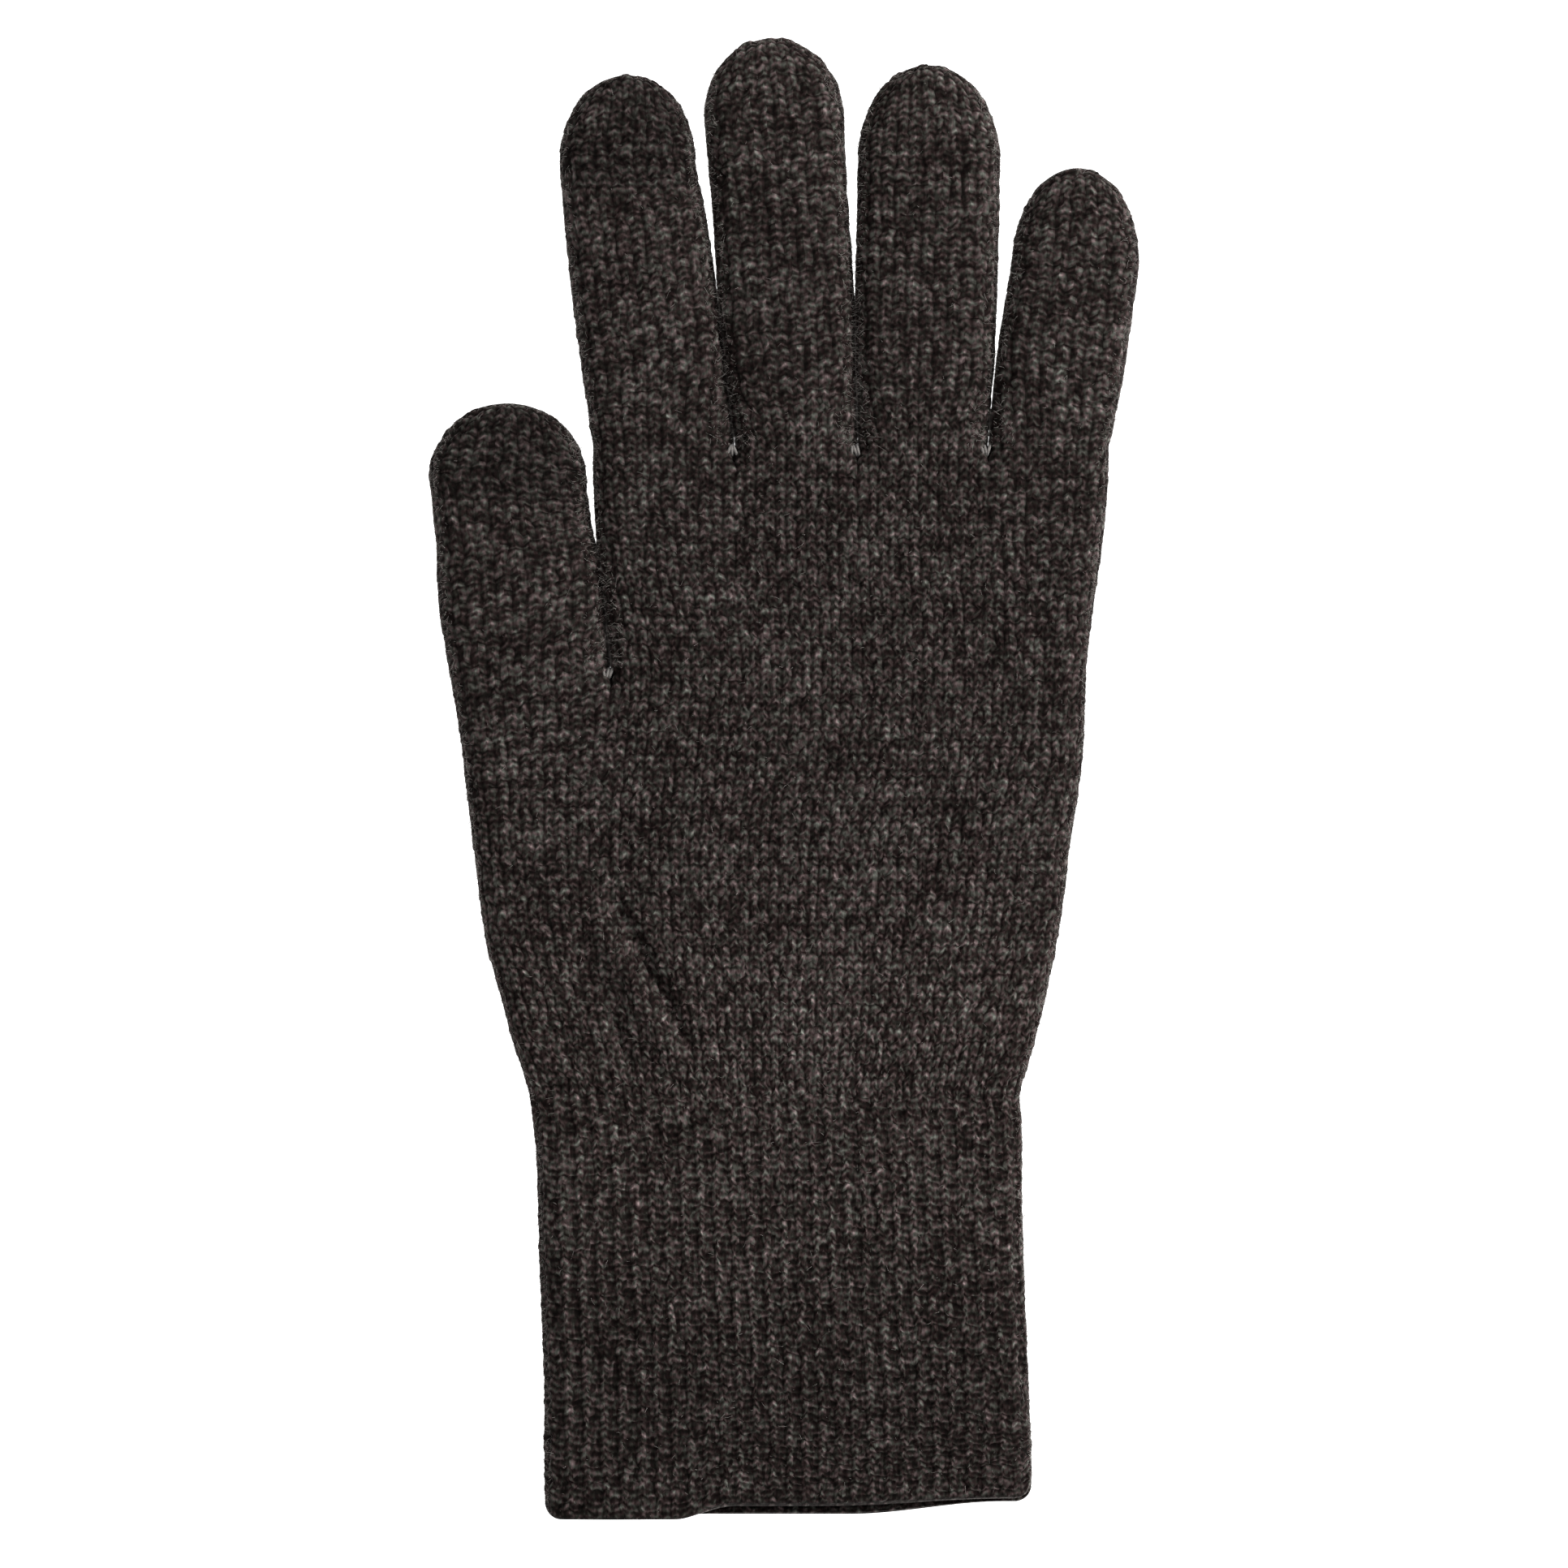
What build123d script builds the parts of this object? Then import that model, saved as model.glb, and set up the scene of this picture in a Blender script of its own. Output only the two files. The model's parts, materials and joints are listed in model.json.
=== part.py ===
"""A right-hand knitted touchscreen glove lying palm down, fingers along +Y.

Millimetres. The palm side rests on Z = 0 and the origin is under the middle of the glove's outline.
The glove is one seamless run of knitted tubes: four finger tubes, the four-finger section of the hand,
the thumb tube, the five-finger section and a ribbed cuff. Every tube is a flattened ring of knit.
Each finger tube is cut where it folds at a knuckle, so that the pieces on each side can turn.
"""

import os
from math import atan2, cos, degrees, radians, sin

from build123d import *

# ---- sizes shared by every tube -------------------------------------------------------------
THICK = 9.6  # both layers of knit with the loft of an unworn glove
WALL = 1.6  # one layer of knit
EDGE = 4.4  # rounding where the tube turns over at its two sides
GAP = 0.4  # between two pieces that fold against each other
SLIT = 0.5  # between neighbouring fingers at the fork
REACH = 400.0  # larger than the glove, for cutting solids
MID = THICK / 2

# ---- levels along the glove -----------------------------------------------------------------
HEM_END = -135.0
HEM = 3.0  # height of the bound-off edge
WRIST = -57.5  # fold between hand and cuff
THUMB_FORK = 20.1
FINGER_FORK = 60.8
ROOT = FINGER_FORK - 9.0  # finger tubes are modelled from here, inside the hand

# ---- side lines of the hand, from the finger fork to the wrist -------------------------------
HAND_INNER = (-34.6, -31.35)  # beside the thumb, at the finger fork and at the thumb fork
HAND_RIGHT = [(50.8, -23.5), (54.1, 0), (55.6, 30), (57.2, FINGER_FORK)]
THUMB_SWELL = [(-61.3, THUMB_FORK), (-58.2, 0), (-55.9, -20), (-51.4, -41.3)]
SWELL_INNER = -18.0  # the swell below the thumb runs this far into the hand

# ---- fingers: middle and half width at the fork; middle, top and radius of the tip; and the fold
# ---- lines at the middle and end knuckles, above the fork
FINGERS = {
    "index": ((-21.9, 12.65), (-28.9, 128.3, 12.75), ( 27.0, 47.0)),
    "middle": ((2.0, 10.7), (-1.9, 135.0, 12.7), ( 29.0, 51.0)),
    "ring": ((24.9, 11.75), (26.3, 130.1, 13.0), ( 28.0, 48.5)),
    "little": ((47.65, 10.5), (53.4, 111.4, 11.6), ( 21.5, 35.5)),
}
BASE_FOLD = 8.0  # the fold nearest the hand, above the fork, the same on all four
BACKWARD = 15.0  # how far a finger bends back past straight

# ---- thumb: the tube leans outwards and folds across the palm on a slanting line -------------
THUMB_BASE = Vector(-46.55, THUMB_FORK)
THUMB_BASE_HALF = 14.7
THUMB_TIP = Vector(-50.4, 54.0)
THUMB_RADIUS = 14.6
THUMB_FOLD = Vector(-32.4, 27.0)  # where the slanting fold meets the inner side of the thumb
THUMB_FOLD_HEADING = 135.0  # direction from the hand to the thumb across that fold
THUMB_KNUCKLE = 26.0  # end-joint fold above the fork, along the tube
THUMB_TOUCH = 32.0  # start of the conductive yarn above the fork, along the tube

# ---- cuff -------------------------------------------------------------------------------------
CUFF_LEFT = (-46.0, -43.9)  # at the wrist and at the hem
CUFF_RIGHT = (43.4, 45.2)
OVERRUN = 4.0  # cutting solids carry on this far past the level they are cut back to
WRIST_BEND = 45.0
ELASTIC_COUNT = 13
ELASTIC_FIRST = -65.5
ELASTIC_PITCH = 5.2
ELASTIC_YARN = 0.8  # side of one laid-in elastic yarn

# ---- tacks ------------------------------------------------------------------------------------
TACK_RADIUS = 0.6
TACK_IN = 0.85  # below the fork, in the middle of the wall that closes it
THUMB_TACK_X = -31.6

Y_AXIS = 90.0  # heading of +Y, counted from +X


def heading(angle):
    return Vector(cos(radians(angle)), sin(radians(angle)))


def beyond(point, angle, lean=0.0, level=0.0):
    """Everything past a plane through point, on the side that angle heads to.

    The plane stands upright, or leans away from the kept side by lean degrees above level.
    """
    way = heading(angle)
    normal = Vector(way.X * cos(radians(lean)), way.Y * cos(radians(lean)), -sin(radians(lean)))
    face = Plane(origin=(point.X, point.Y, level), z_dir=normal)
    return face * Box(REACH, REACH, REACH, align=(Align.CENTER, Align.CENTER, Align.MIN))


def above(y, lean=0.0, level=0.0):
    return beyond(Vector(0, y), Y_AXIS, lean, level)


def below(y, lean=0.0, level=0.0):
    return beyond(Vector(0, y), -Y_AXIS, lean, level)


def slab(face, inset, rounded):
    """A plan outline raised to the tube's height less inset top and bottom, its rounded edges eased."""
    solid = Pos(0, 0, inset) * extrude(face, THICK - 2 * inset)
    edges = [e for e in solid.edges() if abs(e.tangent_at(0.5).Z) < 0.5 and rounded(e.center())]
    return fillet(edges, EDGE - inset)


def finger(base, base_half, centre, radius, inset):
    """A tapered tube from base to a round tip, with a flattened section."""
    way = (centre - base).normalized()
    side = Vector(way.Y, -way.X)
    low = base - way * (FINGER_FORK - ROOT)
    half = base_half - inset
    r = radius - inset
    outline = Polyline(centre - side * r, base - side * half, low - side * half)
    outline += Line(low - side * half, low + side * half)
    outline += Polyline(low + side * half, base + side * half, centre + side * r)
    outline += ThreePointArc(centre + side * r, centre + way * r, centre - side * r)
    return slab(make_face(outline), inset, lambda c: (c - low).dot(way) > 1.0)


def finger_pair(base, base_half, centre, radius):
    """The outside of a finger tube, and its hollow."""
    return [finger(base, base_half, centre, radius, inset) for inset in (0, WALL)]


def body_side(points, inset):
    """A run of side points moved inwards."""
    return [(x + inset if x < 0 else x - inset, y) for x, y in points]


def body(inset):
    """The hand and cuff without the thumb's swell, open past both ends."""
    top = FINGER_FORK + OVERRUN
    left = body_side([(HAND_INNER[0], top), (HAND_INNER[1], THUMB_FORK), (CUFF_LEFT[0], WRIST)], inset)
    hem_left, hem_right = body_side([(CUFF_LEFT[1], HEM_END), (CUFF_RIGHT[1], HEM_END)], inset)
    right = body_side([(CUFF_RIGHT[0], WRIST), *HAND_RIGHT], inset)
    outline = Polyline(hem_right, hem_left, *reversed(left), (right[-1][0], top), right[-1])
    outline += Spline(*[Vector(*p) for p in reversed(right)])
    outline += Line(right[0], hem_right)
    solid = slab(make_face(outline), inset, lambda c: HEM_END + EDGE < c.Y < FINGER_FORK)
    if inset:
        mouth = solid.faces().sort_by(Axis.Y)[0]
        solid += extrude(mouth, OVERRUN, dir=(0, -1, 0))
    return solid & below(FINGER_FORK - inset)


def gusset(inset):
    """The swell of the hand below the thumb, from the thumb fork to the wrist."""
    level = THUMB_FORK - inset
    outer = [(THUMB_SWELL[0][0], level), *THUMB_SWELL[1:], (CUFF_LEFT[0], WRIST)]
    outer = body_side(outer, inset)
    outline = Spline(*[Vector(*p) for p in outer])
    outline += Polyline(outer[-1], (SWELL_INNER, WRIST), (SWELL_INNER, level), outer[0])
    return slab(make_face(outline), inset, lambda c: c.X < CUFF_LEFT[0] and c.Y < level - EDGE)


thumb_way = (THUMB_TIP - THUMB_BASE).normalized()
thumb_heading = degrees(atan2(thumb_way.Y, thumb_way.X))


def thumb_level(distance):
    return THUMB_BASE + thumb_way * distance


# ---- nested outside and hollow solids ---------------------------------------------------------
tubes = {}
for name, ((x, half), (tip_x, tip_y, radius), folds) in FINGERS.items():
    tubes[name] = finger_pair(Vector(x, FINGER_FORK), half, Vector(tip_x, tip_y - radius), radius)
thumb_outside, thumb_hollow = finger_pair(THUMB_BASE, THUMB_BASE_HALF, THUMB_TIP, THUMB_RADIUS)

hand_outside, hand_hollow = [body(inset) + gusset(inset) for inset in (0, WALL)]
thumb_outside = thumb_outside & above(THUMB_FORK - OVERRUN)
fork_hollow = hand_hollow + thumb_hollow
for _, hollow in tubes.values():
    fork_hollow += hollow

parts = {}

# ---- hand: the four-finger section carries the finger stubs, the five-finger section the thumb's
stubs = hand_outside & above(THUMB_FORK)
for outside, _ in tubes.values():
    stubs += outside & below(FINGER_FORK + BASE_FOLD - GAP / 2)
parts["hand_upper"] = stubs - fork_hollow

thumb_side = beyond(THUMB_FOLD + heading(THUMB_FOLD_HEADING) * (GAP / 2), THUMB_FOLD_HEADING)
hand_side = beyond(THUMB_FOLD - heading(THUMB_FOLD_HEADING) * (GAP / 2), THUMB_FOLD_HEADING + 180)
thumb_region = beyond(THUMB_FOLD + heading(THUMB_FOLD_HEADING + 180) * (GAP / 2), THUMB_FOLD_HEADING)
lean = WRIST_BEND / 2
palm = hand_outside & below(THUMB_FORK)
palm = palm & above(WRIST + GAP / 2, lean, MID) & above(WRIST + GAP / 2, -lean, MID)
swell = (gusset(0) + thumb_outside) & hand_side & above(WRIST + GAP / 2, lean, MID)
swell = swell & above(WRIST + GAP / 2, -lean, MID)
five = (palm - (thumb_region & below(THUMB_FORK + 1))) + swell
parts["hand_lower"] = five - fork_hollow

# ---- thumb
thumb = (gusset(0) + thumb_outside) & thumb_side
thumb = thumb - fork_hollow
knuckle = thumb_level(THUMB_KNUCKLE)
touch = thumb_level(THUMB_TOUCH)
step = thumb_way * (GAP / 2)
parts["thumb_lower_tube"] = thumb & beyond(knuckle - step, thumb_heading + 180)
thumb_end = thumb & beyond(knuckle + step, thumb_heading)
parts["thumb_upper_tube"] = thumb_end & beyond(touch, thumb_heading + 180)
parts["thumb_touch_tip"] = thumb & beyond(touch, thumb_heading)

# ---- finger tubes, cut at their folds
LAST = {"index": "index_touch_tip", "middle": "middle_fingertip", "ring": "ring_fingertip",
        "little": "little_fingertip"}
for name, (outside, hollow) in tubes.items():
    middle_fold, end_fold = [FINGER_FORK + fold for fold in FINGERS[name][2]]
    tube = outside - hollow
    start = above(FINGER_FORK + BASE_FOLD + GAP / 2, BACKWARD)
    parts[name + "_lower_tube"] = tube & start & below(middle_fold - GAP / 2)
    parts[name + "_upper_tube"] = tube & above(middle_fold + GAP / 2) & below(end_fold - GAP / 2)
    parts[LAST[name]] = tube & above(end_fold + GAP / 2)

# ---- cuff: ribbed tube with laid-in elastic yarns and a bound-off hem
cuff_groove = body(WALL - ELASTIC_YARN)
cuff_hollow = body(WALL)
elastic = Part()
for i in range(ELASTIC_COUNT):
    y = ELASTIC_FIRST - i * ELASTIC_PITCH
    elastic += (cuff_groove - cuff_hollow) & above(y) & below(y + ELASTIC_YARN)
parts["cuff_elastic"] = elastic
wall = body(0) - cuff_hollow
wall = wall & below(WRIST - GAP / 2, lean, MID) & below(WRIST - GAP / 2, -lean, MID)
parts["cuff"] = (wall & above(HEM_END + HEM)) - elastic
parts["cuff_hem"] = wall & below(HEM_END + HEM)

# ---- tacks: one short yarn bar closes each fork
forks = [Vector(THUMB_TACK_X, THUMB_FORK - TACK_IN)]
names = list(FINGERS)
for one, other in zip(names, names[1:]):
    (x1, half1), (x2, half2) = FINGERS[one][0], FINGERS[other][0]
    forks.append(Vector((x1 + half1 + x2 - half2) / 2, FINGER_FORK - TACK_IN))
tacks = Part()
for place in forks:
    tacks += Pos(place.X, place.Y, MID) * Cylinder(TACK_RADIUS, THICK)
parts["fork_tacks"] = tacks
parts["hand_upper"] -= tacks
parts["hand_lower"] -= tacks

os.makedirs("parts", exist_ok=True)
for name, shape in parts.items():
    export_step(shape, f"parts/{name}.step")
    box = shape.bounding_box()
    print(name, len(shape.solids()), [round(v, 2) for v in (*box.min, *box.max)])
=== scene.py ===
import json
import math

import bpy
import numpy as np
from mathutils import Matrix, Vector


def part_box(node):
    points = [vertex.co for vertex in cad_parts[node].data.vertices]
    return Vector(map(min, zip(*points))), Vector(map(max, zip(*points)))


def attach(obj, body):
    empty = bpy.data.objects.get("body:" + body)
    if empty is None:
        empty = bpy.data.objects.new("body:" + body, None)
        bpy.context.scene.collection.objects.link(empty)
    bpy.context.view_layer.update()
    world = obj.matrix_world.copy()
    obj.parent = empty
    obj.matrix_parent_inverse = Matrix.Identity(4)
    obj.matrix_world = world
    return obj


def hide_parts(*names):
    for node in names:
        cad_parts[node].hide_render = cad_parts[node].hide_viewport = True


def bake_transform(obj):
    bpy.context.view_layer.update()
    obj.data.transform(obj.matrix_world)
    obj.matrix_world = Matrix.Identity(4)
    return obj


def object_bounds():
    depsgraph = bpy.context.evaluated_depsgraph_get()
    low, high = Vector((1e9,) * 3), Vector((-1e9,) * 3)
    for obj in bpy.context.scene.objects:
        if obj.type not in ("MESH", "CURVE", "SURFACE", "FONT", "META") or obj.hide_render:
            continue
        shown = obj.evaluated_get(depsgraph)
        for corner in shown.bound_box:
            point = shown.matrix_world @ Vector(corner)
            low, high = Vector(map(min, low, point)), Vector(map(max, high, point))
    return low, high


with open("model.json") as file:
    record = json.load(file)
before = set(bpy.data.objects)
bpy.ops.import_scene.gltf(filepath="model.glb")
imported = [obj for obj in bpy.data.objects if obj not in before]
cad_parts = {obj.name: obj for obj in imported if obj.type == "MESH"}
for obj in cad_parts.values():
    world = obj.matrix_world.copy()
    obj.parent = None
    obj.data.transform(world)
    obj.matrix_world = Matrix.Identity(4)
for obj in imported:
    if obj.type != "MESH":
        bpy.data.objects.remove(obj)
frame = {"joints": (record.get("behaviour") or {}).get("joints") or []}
cad_low, cad_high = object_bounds()


# ---- Knitted cuff -------------------------------------------------------------------------
# The cuff is the first part off the machine: a seamless tube of one-by-one rib in heather wool
# that grips the wrist, its first edge turned into a welt. It is made course by course, one
# stitch to a wale, and runs on without a seam into the plain knit of the hand.

MM = 0.001
WALE_CUTS = 6
COURSE_CUTS = 4
ROW_SAMPLES = 160

HAND_WALES = 49
THUMB_WALES = 13
CUFF_WALES = HAND_WALES + THUMB_WALES
RIB_COURSE = 1.35
PLAIN_COURSE = 1.33
WELT_COURSES = 2

SIDE_HEIGHT = 3.2
PALM_HEIGHT = 0.55
SHOULDER = 4.2
CROWN = 15.0
PALM_TURN = 3.6
SHOULDER_SHARE = 0.76


def box_mm(node):
    """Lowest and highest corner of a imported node, in millimetres."""
    low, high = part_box(node)
    return np.array(low) / MM, np.array(high) / MM


def joint_mm(name):
    """The place of a joint of the frame, in millimetres."""
    found = [joint for joint in frame["joints"] if joint["name"] == name]
    return np.array(found[0]["pos_m"]) / MM


def ease(t):
    """0 before 0, 1 after 1, and a smooth rise between them."""
    t = np.clip(t, 0.0, 1.0)
    return t * t * (3 - 2 * t)


def quarter(distance, turn):
    """Height of a quarter circle that rises over the length turn."""
    t = np.clip(distance / turn, 0.0, 1.0)
    return np.sqrt(np.maximum(1 - (1 - t) ** 2, 0.0))


def smooth_line(points, at):
    """Value of a smooth curve through (place, value) points, read at the given places."""
    x, y = np.array(points, float).T
    slope = np.gradient(y, x)
    i = np.clip(np.searchsorted(x, at) - 1, 0, len(x) - 2)
    step = x[i + 1] - x[i]
    t = (at - x[i]) / step
    start = y[i] * (1 + 2 * t) * (1 - t) ** 2 + slope[i] * step * t * (1 - t) ** 2
    stop = y[i + 1] * t**2 * (3 - 2 * t) + slope[i + 1] * step * t**2 * (t - 1)
    return start + stop


def layer_height(depth, crest, face):
    """Height of the back (face 1) or palm (face -1) layer at a distance inside the outline."""
    if face > 0:
        crown = SHOULDER_SHARE * quarter(depth, SHOULDER)
        crown = crown + (1 - SHOULDER_SHARE) * quarter(depth, CROWN)
        return SIDE_HEIGHT + (crest - SIDE_HEIGHT) * crown
    return SIDE_HEIGHT - (SIDE_HEIGHT - PALM_HEIGHT) * quarter(depth, PALM_TURN)


def even_row(x, y, z, wales, guide=None):
    """The points of a row again, spaced evenly along it, so that every stitch is as wide.
    guide is the height to space them by, where it is not the row's own."""
    rise = np.diff(z if guide is None else guide)
    steps = np.sqrt(np.diff(x) ** 2 + np.diff(y) ** 2 + rise**2)
    run = np.concatenate([[0], np.cumsum(steps)])
    at = np.linspace(0, run[-1], wales * WALE_CUTS + 1)
    return np.stack([np.interp(at, run, v) for v in (x, y, z)], axis=1)


def loop_row(parts, crest, pinch):
    """One row round the tube: over the back from left to right, then back along the palm.
    parts are (left point, right point, wales); pinch draws the layers together between parts."""
    share = (1 - np.cos(np.linspace(0, math.pi, ROW_SAMPLES))) / 2
    left, right = parts[0][0], parts[-1][1]
    back, palm = [], []
    for start, stop, wales in parts:
        x = start[0] + (stop[0] - start[0]) * share
        y = start[1] + (stop[1] - start[1]) * share
        from_left = np.hypot(x - left[0], y - left[1])
        outer = np.minimum(from_left, np.hypot(x - right[0], y - right[1]))
        own = np.minimum(share, 1 - share) * math.dist(start, stop)
        for face, rows in ((1, back), (-1, palm)):
            loose = layer_height(outer, crest, face)
            z = loose + (layer_height(own, crest, face) - loose) * pinch
            rows.append(even_row(x, y, z, wales, loose))
    over = np.concatenate([back[0][:1]] + [row[1:] for row in back])
    under = np.concatenate([palm[0][:1]] + [row[1:] for row in palm])
    return np.concatenate([over, under[-2:0:-1]])


hem_low, hem_high = box_mm("cuff_hem")
wrist = joint_mm("wrist_fold")[1]
thumb_fork = box_mm("hand_upper")[0][1]
cuff_courses = round((wrist - hem_high[1]) / RIB_COURSE)
palm_courses = round((thumb_fork - wrist) / PLAIN_COURSE)

# Edges of the cuff and lower hand, as (level, side), and the height of the back along them.
LEFT_EDGE = [(-136, -43.5), (-124, -43.6), (-109, -43.7), (-88.7, -44.5), (-62, -45.7),
             (-57.5, -46.3), (-50.2, -48.6), (-38.3, -51.9), (-29.5, -54.2), (-17.6, -55.9),
             (0, -57.9), (9, -58.8), (20.1, -60.4)]
RIGHT_EDGE = [(-136, 45.0), (-124, 45.0), (-109, 44.5), (-88.7, 43.7), (-70, 43.3), (-61, 43.2),
              (-57.5, 42.9), (-54, 43.7), (-50.2, 44.9), (-41.3, 47.2), (-32.4, 49.1),
              (-23.5, 50.7), (-11.7, 52.1), (0, 53.9), (9, 54.6), (20.1, 55.0)]
CREST = [(-136, 8.2), (-110, 8.5), (-75, 8.3), (-57.5, 7.7), (-40, 8.5), (0, 8.8), (60, 8.7)]
THUMB_NOTCH = -31.6
THUMB_DROP = 3.3
DROP_START = -12.0
FAN_LENGTH = 42.0
PINCH_LENGTH = 5.0

# The hem's edge: its rounded corners, and how far the slack of each layer lifts it, as
# (rise, where it starts, over what length).
HEM_START = 0.7
HEM_CORNER = 3.0
HEM_FADE = 22.0
HEM_BACK_SLACK = ((2.8, -20.0, 11.0), (1.2, 5.0, 35.0))
HEM_PALM_LIFT = 0.6
HEM_PALM_SLACK = ((2.3, 12.0, 28.0),)
WELT_CURL = 0.3
WELT_ROUND = 1.4


def slack(x, steps):
    """The sum of smooth steps along x, each a rise from a start over a length."""
    return sum(rise * ease((x - start) / length) for rise, start, length in steps)


def hem_lift(x, left, right, back):
    """How far the hem's edge stands above the straight line across the cuff."""
    side = np.clip(np.minimum(x - left, right - x), 0, HEM_CORNER)
    corner = HEM_CORNER - np.sqrt(np.maximum(HEM_CORNER**2 - (HEM_CORNER - side) ** 2, 0))
    palm = HEM_PALM_LIFT + slack(x, HEM_PALM_SLACK)
    return corner + np.where(back, slack(x, HEM_BACK_SLACK), palm)


def hand_row(y):
    """A row of the cuff and lower hand, whose left part fans out towards the thumb."""
    left, right = smooth_line(LEFT_EDGE, y), smooth_line(RIGHT_EDGE, y)
    fan = ease((y - thumb_fork + FAN_LENGTH) / FAN_LENGTH)
    notch = (left + (right - left) * THUMB_WALES / CUFF_WALES) * (1 - fan) + THUMB_NOTCH * fan
    drop = THUMB_DROP * ease((y - DROP_START) / (thumb_fork - DROP_START))
    pinch = ease((y - thumb_fork + PINCH_LENGTH) / PINCH_LENGTH)
    parts = [((left, y - drop), (notch, y), THUMB_WALES), ((notch, y), (right, y), HAND_WALES)]
    row = loop_row(parts, smooth_line(CREST, y), pinch)
    back = np.arange(len(row)) <= CUFF_WALES * WALE_CUTS
    lift = hem_lift(row[:, 0], left, right, back) * (1 - ease((y - hem_low[1]) / HEM_FADE))
    row[:, 1] += lift
    curl = 1 - WELT_CURL * (1 - quarter(y - hem_low[1] - HEM_START, WELT_ROUND))
    level = (row[:, 2] + row[-np.arange(len(row)), 2]) / 2
    row[:, 2] = level + (row[:, 2] - level) * curl
    return row


def course_lines(start, stop, courses):
    """Heights of the fine rows of a run of courses, without the last."""
    return np.linspace(start, stop, courses * COURSE_CUTS + 1)[:-1]


def outward(grid):
    """Unit normals of a grid of rows round a tube."""
    across = np.roll(grid, -1, axis=1) - np.roll(grid, 1, axis=1)
    along = np.gradient(grid, axis=0)
    normal = np.cross(across, along)
    return normal / np.maximum(np.linalg.norm(normal, axis=2, keepdims=True), 1e-9)


# The stitch: how the yarn rises over a wale and a course, in the knit and in the purl columns.
LOOP_POWER = 0.6
LOOP_FLOOR = 0.3
RIB_FLOOR = 0.25
COURSE_SHARE = 0.6
LEG_DROP = 0.42
LEG_SPLIT = 0.22
PURL_BULGE = 0.2
PURL_DROP = 0.48
PURL_SHARE = 0.72


def stitch_relief(wale, course, rib):
    """Height of the yarn, 0 to 1, at a place counted in wales and courses; rib goes from 0 to 1."""
    part = wale % 1.0
    floor = LOOP_FLOOR + RIB_FLOOR * rib
    loop = floor + (1 - floor) * np.abs(np.sin(math.pi * part)) ** LOOP_POWER
    yarn = 0.5 + 0.5 * np.cos(2 * math.pi * (course + LEG_DROP * np.abs(2 * part - 1)))
    split = (0.5 + 0.5 * np.cos(4 * math.pi * part)) * (1 - yarn)
    plain = loop * (1 - COURSE_SHARE + COURSE_SHARE * yarn) - LEG_SPLIT * split
    ridge = (0.5 + 0.5 * np.cos(2 * math.pi * (course + PURL_DROP))) * PURL_SHARE
    purl = (1 - PURL_BULGE + PURL_BULGE * np.sin(math.pi * part)) * ridge
    behind = (np.floor(wale) % 2) * rib
    return plain * (1 - behind) + purl * behind


# Pressed folds of the back layer: two ends, width and depth; a ridge has a negative depth.
FOLDS = [((-30.4, -22.5), (-17.6, -47.6), 1.5, 2.2), ((-31.2, -42.5), (-27.9, -51.7), 1.2, 1.3),
         ((-45.4, -45.3), (-36.0, -46.9), 1.7, 1.4), ((-44.5, -55.0), (-41.0, -56.2), 1.8, 1.3),
         ((-33.4, -26.0), (-21.0, -49.0), 2.6, -2.3), ((-34.6, 16.8), (-28.6, 19.4), 0.8, -0.7),
         ((46.8, -26.0), (42.2, -50.0), 0.7, 0.6), ((42.0, -57.0), (43.2, -120.0), 0.6, 0.5)]
FOLD_TAPER = 0.12
FOLD_END_SHARE = 0.25
WAVES = ((5.1, 7.7, 0.4), (8.3, -5.9, 2.1), (3.9, -11.0, 4.0))
WAVE_HEIGHT = 0.09
SETTLE_RISE = 4.5

YARN_DEPTH = 0.36
RELIEF_MIDDLE = 0.45
RIB_STEP = 0.09
STITCH_CHANGE = 0.22
STITCH_SHIFT = 0.20
SIDE_SHARE = 0.3
INNER_SHARE = 0.62
LOWEST_YARN = 0.05


def settled(x, y):
    """How far the back layer sinks or rises: slow waves in the cloth, and the pressed folds."""
    drop = WAVE_HEIGHT * sum(np.sin(x / a + y / b + start) for a, b, start in WAVES)
    for (ax, ay), (bx, by), width, depth in FOLDS:
        along = np.array([bx - ax, by - ay])
        t = np.clip(((x - ax) * along[0] + (y - ay) * along[1]) / (along @ along), 0, 1)
        reach = np.hypot(x - ax - t * along[0], y - ay - t * along[1])
        swell = np.sin(math.pi * (FOLD_TAPER + (1 - 2 * FOLD_TAPER) * t))
        swell = FOLD_END_SHARE + (1 - FOLD_END_SHARE) * swell
        drop -= depth * np.exp(-((reach / width) ** 2)) * swell
    return drop


def scattered(rows, columns, seed):
    """Smooth random values over a grid of fine rows: one number to a stitch, 0 at both ends."""
    size = (rows // COURSE_CUTS + 2, columns // WALE_CUTS)
    random = np.random.default_rng(seed).standard_normal(size)
    up, round_place = np.arange(rows) / COURSE_CUTS, np.arange(columns) / WALE_CUTS
    low, left = up.astype(int), round_place.astype(int)
    right = (left + 1) % size[1]
    rise, across = ease(up - low)[:, None], ease(round_place - left)[None, :]
    rows_now = random[low] * (1 - rise) + random[low + 1] * rise
    value = rows_now[:, left] * (1 - across) + rows_now[:, right] * across
    ends = np.minimum(np.arange(rows), rows - 1 - np.arange(rows)) / COURSE_CUTS
    return value * ease(ends)[:, None]


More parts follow.
